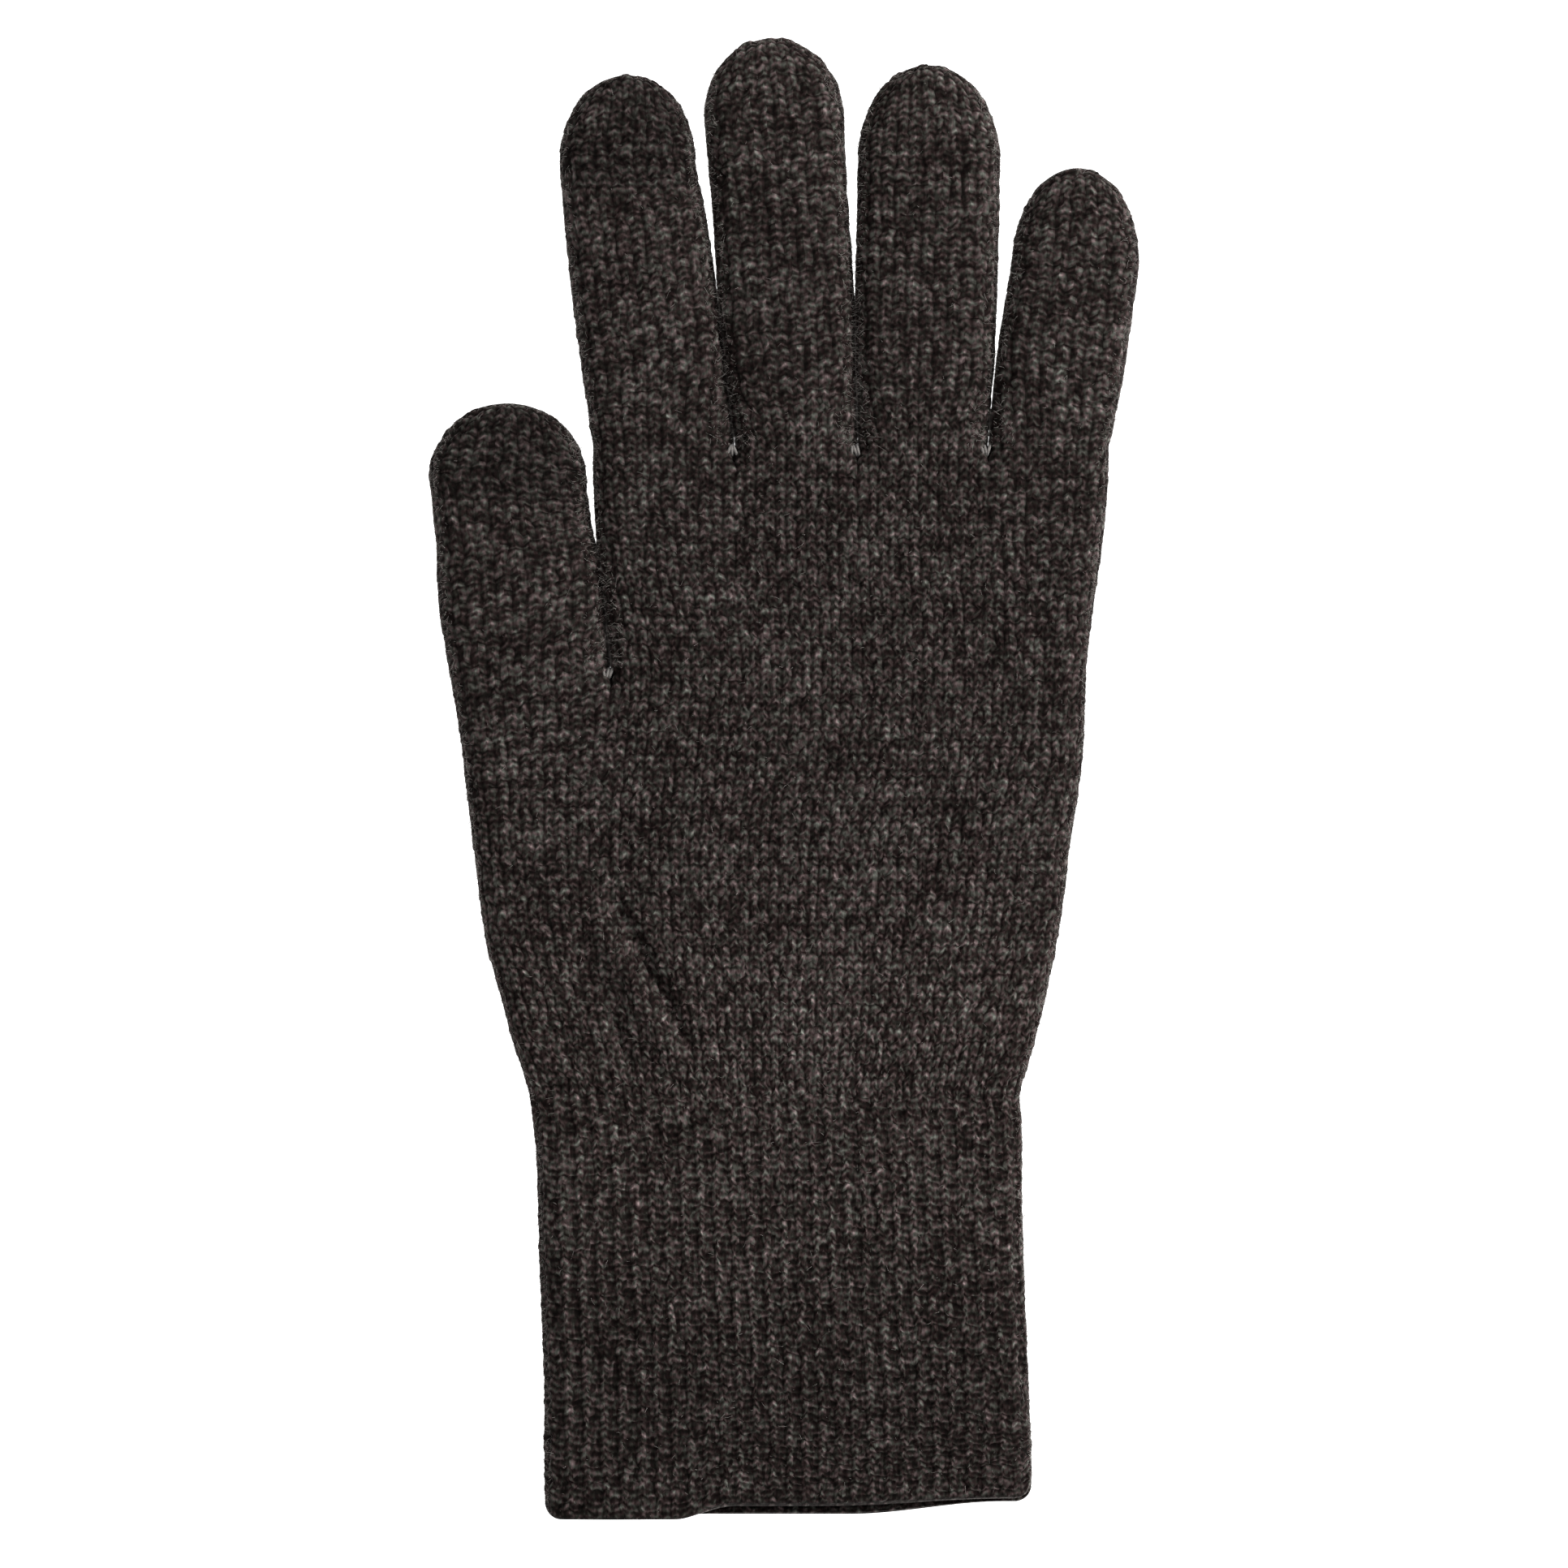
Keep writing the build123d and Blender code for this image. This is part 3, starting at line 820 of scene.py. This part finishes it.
def tip_rows(middle, turn, half, reach, wales, crest):
    """The rows that close a finger: they run up over its round end to a bound-off edge."""
    along = np.array([math.sin(turn), math.cos(turn)])
    side = np.array([math.cos(turn), -math.sin(turn)])
    up_share = np.linspace(0, 1, TIP_SAMPLES)
    rise = layer_height(reach * (1 - up_share), crest, 1)
    run = np.concatenate([[0], np.cumsum(np.hypot(np.diff(up_share * reach), np.diff(rise)))])
    closing = round(run[-1] / PLAIN_COURSE)
    share = -np.cos(np.linspace(0, math.pi, ROW_SAMPLES))
    rows = []
    for r in np.interp(np.linspace(0, run[-1], closing * COURSE_CUTS + 1), run, up_share):
        across = share * math.sqrt(1 - r**2 / 2)
        up = r * np.sqrt(1 - share**2 / 2)
        inside = np.maximum(1 - np.hypot(across, up), 0) * (r < 1)
        depth = inside * (half + (reach - half) * up)
        x = middle[0] + side[0] * across * half + along[0] * up * reach
        y = middle[1] + side[1] * across * half + along[1] * up * reach
        over = even_row(x, y, layer_height(depth, crest, 1), wales)
        under = even_row(x, y, layer_height(depth, crest, -1), wales)
        rows.append(np.concatenate([over, under[-2:0:-1]]))
    return rows


def finger_base(root_points, wales, middle, widths, lean, end_node):
    """The plain grid of a finger from its two root points, over the middle of its end, to the top
    of its end node. widths are half widths at even steps from the root to the end."""
    left, right = root_points
    turn = math.radians(lean)
    root = (np.array(left) + np.array(right)) / 2
    line = np.array(middle) - root
    length = np.hypot(*line)
    first_turn = math.atan2(left[1] - right[1], right[0] - left[0])
    way = math.atan2(line[0], line[1])
    turns = [(-1, first_turn), (0, first_turn), (LEAN_START, way), (length - LEAN_END, way),
             (length, turn), (length + 1, turn)]
    ends = np.linspace(0, length, len(widths) + 1)
    halves = list(zip(ends, [math.dist(left, right) / 2, *widths]))
    grows = (halves[1][1] - halves[0][1]) / halves[1][0]
    for number, swell in ((1, ROOT_SWELL), (2, 0.0)):
        place = number * ROOT_LENGTH
        halves.insert(number, (place, halves[0][1] + grows * place + swell))
    rows = []
    for v in course_lines(0, length, round(length / PLAIN_COURSE)):
        now = smooth_line(turns, v)
        side = np.array([math.cos(now), -math.sin(now)]) * smooth_line(halves, v)
        place = root + line * v / length
        rows.append(loop_row([(place - side, place + side, wales)], FINGER_CREST, 0))
    reach = box_mm(end_node)[1][1] - middle[1]
    tip = tip_rows(middle, turn, widths[-1], reach, wales, FINGER_CREST)
    return np.array(rows + tip)


KNUCKLE_ABOVE_FORK = 8.0
finger_fork = joint_mm("index_base_knuckle")[1] - KNUCKLE_ABOVE_FORK
FORKS = (-34.75, -8.95, 13.4, 37.1, 59.1)
UPPER_RIGHT = [(20.1, 55.0), (30, 55.6), (43, 56.4), (50.5, 57.0), (56.4, 58.2), (60.8, 59.1)]

# Each finger's wales, the middle of its end, its half widths, its lean in degrees and the node
# at its end.
FINGERS = {"index": (13, (-28.5, 112.6), (13.1, 13.2, 13.0, 12.4), 1, "index_touch_tip"),
           "middle": (12, (-1.8, 120.6), (12.05, 12.45, 12.4, 12.75), -6, "middle_fingertip"),
           "ring": (13, (26.4, 112.6), (12.6, 12.95, 13.0, 13.0), -1, "ring_fingertip"),
           "little": (11, (53.0, 94.0), (11.6, 11.75, 11.6), 2, "little_fingertip")}
THUMB_END = (-50.3, 54.5)
THUMB = (THUMB_WALES, THUMB_END, (15.0, 15.1, 14.3, 14.45), 4, "thumb_touch_tip")

upper_courses = round((finger_fork - thumb_fork) / PLAIN_COURSE)
wale_ends = np.cumsum([0] + [FINGERS[name][0] for name in FINGERS])


def upper_row(y):
    """A row of the upper hand, whose stitches share themselves out among the four fingers."""
    t = (y - thumb_fork) / (finger_fork - thumb_fork)
    left, right = THUMB_NOTCH + (FORKS[0] - THUMB_NOTCH) * t, smooth_line(UPPER_RIGHT, y)
    even = left + (right - left) * wale_ends / HAND_WALES
    x = even + (np.array(FORKS) - even) * ease(t)
    pinch = ease((y - finger_fork + PINCH_LENGTH) / PINCH_LENGTH)
    parts = [((x[i], y), (x[i + 1], y), FINGERS[name][0]) for i, name in enumerate(FINGERS)]
    return loop_row(parts, smooth_line(CREST, y), pinch)


upper_lines = np.append(course_lines(thumb_fork, finger_fork, upper_courses), finger_fork)
upper_base = np.array([upper_row(y) for y in upper_lines])
pinched = [c * WALE_CUTS for c in wale_ends[1:-1]]
pinched += [2 * HAND_WALES * WALE_CUTS - c for c in pinched]
taken = branch(hand, THUMB_WALES, CUFF_WALES)
upper = grown(hand, taken, upper_base, HAND_SETTLING, still=pinched)
thumb_root = (hand_base[-1][0][:2], hand_base[-1][THUMB_WALES * WALE_CUTS][:2])
taken = branch(hand, 0, THUMB_WALES)
thumb = grown(hand, taken, finger_base(thumb_root, *THUMB), THUMB_SETTLING, seam=True)
fingers = {}
for number, name in enumerate(FINGERS):
    taken = branch(upper, wale_ends[number], wale_ends[number + 1])
    root = ((FORKS[number], finger_fork), (FORKS[number + 1], finger_fork))
    base = finger_base(root, *FINGERS[name])
    fingers[name] = grown(upper, taken, base, FINGER_SETTLING, seam=True)

shaded(hand, branches=(upper, thumb))
shaded(upper, hand, fingers.values())
shaded(thumb, hand)
for tube in fingers.values():
    shaded(tube, upper)


# ---- Lower hand ---------------------------------------------------------------------------
# Plain knit in the same wool, from the wrist to the thumb's fork, knitted on from the cuff. Its
# first courses make a piece of their own at the wrist; the rest lies flat over the palm and the
# back of the hand.

HEEL_COURSES = 8
WEB_LEVEL = -11.0
heel_course = wrist_course + HEEL_COURSES
web_course = wrist_course + round((WEB_LEVEL - wrist) / (thumb_fork - wrist) * palm_courses)
yarns["wool_knit"] = knit_material("wool_knit", rib=0.0, level=0.6)

heel = cells(hand, (wrist_course, heel_course))
piece = knit_piece("hand_heel", hand, heel, "wool_knit", "hand_lower")
bent(piece, "hand", "cuff", *WRIST_BEND)
thumb_side = around - THUMB_WALES
for side, full_width, beside_thumb in (("back", (0, front), (THUMB_WALES, front)),
                                       ("palm", (front, around), (front, thumb_side))):
    wall = cells(hand, (heel_course, web_course, *full_width),
                 (web_course, thumb_course, *beside_thumb))
    knit_piece(f"hand_lower_{side}", hand, wall, "wool_knit", "hand_lower", "hand")


# ---- Upper hand ---------------------------------------------------------------------------
# Plain knit over the knuckles, from the thumb's fork to the forks of the fingers. Its wales part
# towards the four fingers, and its two layers are drawn together at the forks.

wall = cells(upper, (0, upper_courses))
knit_piece("hand_upper_knit", upper, wall, "wool_knit", "hand_upper", "hand")


# ---- Thumb --------------------------------------------------------------------------------
# A tube of thirteen wales a side that leaves the hand at its edge. Its end is knitted in the same
# heather yarn with conductive fibre spun in, which makes it a little darker.

CREASE = (-32.4, 27.0)
CREASE_REACH = 5.4
THUMB_LOWER_COURSES = 13
THUMB_TOUCH_COURSE = 24
THUMB_KNUCKLE_REACH = 6
yarns["conductive_knit"] = knit_material("conductive_knit", rib=0.0, level=0.42)

web_cells = cells(hand, (web_course, thumb_course, 0, THUMB_WALES),
                  (web_course, thumb_course, thumb_side, around))
lower_cells = cells(thumb, (0, THUMB_LOWER_COURSES))
slant = CREASE_REACH * math.sqrt(0.5) * np.array([-1, 1])
for name, tube, plan in (("thumb_web", hand, web_cells), ("thumb_lower_knit", thumb, lower_cells)):
    piece = knit_piece(name, tube, plan, "wool_knit", "thumb_lower_tube")
    bent(piece, "hand", "thumb_lower", np.array(CREASE), slant)

way = np.array(THUMB_END) - (np.array(thumb_root[0]) + np.array(thumb_root[1])) / 2
way /= np.hypot(*way)
plan = cells(thumb, (THUMB_LOWER_COURSES, THUMB_TOUCH_COURSE))
piece = knit_piece("thumb_upper_knit", thumb, plan, "wool_knit", "thumb_upper_tube")
bent(piece, "thumb_lower", "thumb_end", joint_mm("thumb_end_knuckle")[:2],
     way * THUMB_KNUCKLE_REACH)
plan = cells(thumb, (THUMB_TOUCH_COURSE, None))
knit_piece("thumb_touch_knit", thumb, plan, "conductive_knit", "thumb_touch_tip", "thumb_end")


# ---- Fingers ------------------------------------------------------------------------------
# Four tubes of the same plain knit, each cut into pieces between its knuckles and bound off at its
# tip.
# The index finger's end is knitted in the conductive yarn, as the thumb's is.

TOUCH_COURSE = 35
KNUCKLE_REACH = 7.5
TIP_REACH = 6.5
REACH_MARGIN = 1.2


def bend_reach(near, far, most):
    """A reach about a knuckle, cut short to stay clear of the next knuckle's."""
    return min(most, (far - near) / 2 - REACH_MARGIN)


for name, tube in fingers.items():
    joints = [joint_mm(f"{name}_{part}_knuckle")[:2] for part in ("base", "middle", "end")]
    way = joints[2] - joints[0]
    way /= np.hypot(*way)
    base_up, middle_up, end_up = (joint[1] - finger_fork for joint in joints)
    middle_split = round((base_up + middle_up) / 2 / PLAIN_COURSE)
    end_split = round((middle_up + end_up) / 2 / PLAIN_COURSE)
    lower_reach = bend_reach(base_up, middle_up, KNUCKLE_REACH)
    tip_reach = bend_reach(middle_up, end_up, TIP_REACH)
    end_node = FINGERS[name][-1]
    touch = TOUCH_COURSE if end_node == "index_touch_tip" else None
    bodies = [(f"{name}_lower", "hand", joints[0], lower_reach, f"{name}_lower_tube"),
              (f"{name}_upper", f"{name}_lower", joints[1], lower_reach, f"{name}_upper_tube"),
              (f"{name}_tip", f"{name}_upper", joints[2], tip_reach, end_node)]
    spans = [("lower", 0, middle_split), ("upper", middle_split, end_split),
             ("tip", end_split, touch)]
    if touch:
        spans.append(("touch", touch, None))
        bodies.append(bodies[-1])
    for (label, first, stop), (body, parent, joint, reach, node) in zip(spans, bodies):
        slot = "conductive_knit" if label == "touch" else "wool_knit"
        piece = knit_piece(f"{name}_{label}_knit", tube, cells(tube, (first, stop)), slot, node)
        bent(piece, parent, body, joint, way * reach)


# ---- Elastic yarns ------------------------------------------------------------------------
# Thirteen elastic yarns are laid in between the rib courses while the cuff is knitted. Each runs
# once round the tube and lies against the inner side of the wall.

ELASTIC_COUNT = 13
ELASTIC_FIRST = -65.1
ELASTIC_PITCH = 5.2
ELASTIC_RADIUS = 0.36
ELASTIC_INSIDE = 0.97
ELASTIC_TONES = ((0.05, 0.047, 0.045, 1), (0.16, 0.15, 0.145, 1), 1500.0)
YARN_SIDES = 8
PLIED_FINISH = {"Roughness": 0.85, "Sheen Weight": 0.3}
PLIED_BUMP = {"Strength": 0.5, "Distance": 0.0002}


def yarn_piece(name, rings, radius, body, slot, tones):
    """Closed yarns, one through each ring of points, shaped from torus primitives and joined into
    one piece that rides on a body. tones are a dark and a light tone and how finely they mix."""
    dark, light, grain = tones
    bpy.ops.object.select_all(action="DESELECT")
    made = []
    turn = (2 * math.pi * np.arange(YARN_SIDES) / YARN_SIDES)[:, None]
    for points in rings:
        bpy.ops.mesh.primitive_torus_add(major_segments=len(points), minor_segments=YARN_SIDES)
        yarn = bpy.context.object
        along = np.roll(points, -1, axis=0) - np.roll(points, 1, axis=0)
        along /= np.linalg.norm(along, axis=1, keepdims=True)
        out = points - points.mean(axis=0)
        out -= along * (out * along).sum(axis=1, keepdims=True)
        out /= np.linalg.norm(out, axis=1, keepdims=True)
        side = np.cross(along, out)
        shape = out[:, None] * np.cos(turn) - side[:, None] * np.sin(turn)
        shape = (points[:, None] + radius * shape).reshape(-1, 3) * MM
        yarn.data.vertices.foreach_set("co", shape.ravel().astype(np.float32))
        yarn.data.update()
        made.append(yarn)
    bpy.ops.object.select_all(action="DESELECT")
    for yarn in made:
        yarn.select_set(True)
    bpy.context.view_layer.objects.active = made[0]
    bpy.ops.object.join()
    piece = made[0]
    piece.name = piece.data.name = name
    piece.data.polygons.foreach_set("use_smooth", [True] * len(piece.data.polygons))
    material, tree, shader = new_material(slot, PLIED_FINISH)
    place = put(tree, "ShaderNodeTexCoord").outputs["Object"]
    fleck = noise(tree, place, grain, detail=2.0)
    tree.links.new(mixed(tree, fleck, dark, light), shader.inputs["Base Color"])
    bump = put(tree, "ShaderNodeBump", {"Height": fleck, **PLIED_BUMP})
    tree.links.new(bump.outputs[0], shader.inputs["Normal"])
    piece.data.materials.clear()
    piece.data.materials.append(material)
    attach(piece, body)
    return piece


elastic_rows = []
for number in range(ELASTIC_COUNT):
    nearest = np.abs(courses - (ELASTIC_FIRST - number * ELASTIC_PITCH)).argmin()
    wall = hand["inner"][nearest][::WALE_CUTS // 2]
    middle = wall.mean(axis=0)
    elastic_rows.append(middle + (wall - middle) * ELASTIC_INSIDE)
elastic = yarn_piece("cuff_elastic_yarns", elastic_rows, ELASTIC_RADIUS, "cuff", "elastic_yarn",
                     ELASTIC_TONES)
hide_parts("cuff_elastic")


# ---- Fork tacks ---------------------------------------------------------------------------
# A few turns of yarn close the little hole at each fork, sewn over the web between two tubes
# and drawn tight.

TACK_RADIUS = 1.1
TACK_HEIGHT = 3.3
TACK_YARN = 0.27
TACK_TURNS = (-0.55, 0.0, 0.55)
TACK_LEAN = 0.5
TACK_SCATTER = (5.0, 9.0)
TACK_POINTS = 24
TACK_PLACE = (-0.5, -0.9, 0.6)
TACK_TONES = ((0.07, 0.063, 0.058, 1), (0.24, 0.22, 0.205, 1), 2200.0)

fork_places = [(x, finger_fork) for x in FORKS[1:-1]] + [(THUMB_NOTCH, thumb_fork)]
turn = np.linspace(0, 2 * math.pi, TACK_POINTS + 1)[:-1]
tack_rings = []
for number, (x, y) in enumerate(fork_places):
    for offset in TACK_TURNS:
        lean = TACK_LEAN * math.sin(TACK_SCATTER[0] * number + TACK_SCATTER[1] * offset)
        ring = [x + TACK_PLACE[0] + offset + lean * np.cos(turn),
                y + TACK_PLACE[1] + TACK_RADIUS * np.cos(turn),
                SIDE_HEIGHT + TACK_PLACE[2] + TACK_HEIGHT * np.sin(turn)]
        tack_rings.append(np.stack(ring, axis=1))
tacks = yarn_piece("fork_tack_yarns", tack_rings, TACK_YARN, "hand", "tack_yarn", TACK_TONES)
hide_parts("fork_tacks")


# ---- Studio -------------------------------------------------------------------------------
# The glove hangs flat over a sheet of white paper, lit by a large softbox on its right and a
# weaker one above. The paper lies 12 cm below the glove.

FIELD = 0.286
FLOOR_SIZE = 14.0
FLOOR_LEVEL = -0.12
PAPER = {"Base Color": (0.93, 0.93, 0.93, 1), "Roughness": 0.9,
         "Emission Color": (1, 1, 1, 1), "Emission Strength": 0.75}
WORLD_LIGHT = {"Color": (1, 1, 1, 1), "Strength": 0.42}

bpy.ops.object.select_all(action="DESELECT")
bpy.ops.mesh.primitive_plane_add(size=FLOOR_SIZE, location=(0, 0, FLOOR_LEVEL))
floor = bpy.context.object
floor.name = "studio_floor"
floor.data.materials.append(new_material("paper", PAPER)[0])

world = bpy.data.worlds.new("studio")
world.use_nodes = True
for key, value in WORLD_LIGHT.items():
    world.node_tree.nodes["Background"].inputs[key].default_value = value
bpy.context.scene.world = world
bpy.context.scene.view_settings.view_transform = "Standard"


def softbox(name, place, size, power):
    """A square light that faces the middle of the glove."""
    lamp = bpy.data.lights.new(name, "AREA")
    lamp.size, lamp.energy = size, power
    light = bpy.data.objects.new(name, lamp)
    light.location = place
    light.rotation_euler = light.location.normalized().to_track_quat("Z", "Y").to_euler()
    bpy.context.scene.collection.objects.link(light)


softbox("key_light", (1.25, 0.35, 0.8), size=0.6, power=32.0)
softbox("fill_light", (-0.6, 0.4, 1.6), size=1.2, power=6.0)

CAMERA_PLACE = (0, -0.0007, 1.6)
SENSOR = 36.0
lens = bpy.data.cameras.new("camera")
lens.sensor_width = SENSOR
lens.lens = SENSOR * CAMERA_PLACE[2] / FIELD
camera = bpy.data.objects.new("camera", lens)
camera.location = CAMERA_PLACE
bpy.context.scene.collection.objects.link(camera)
bpy.context.scene.camera = camera
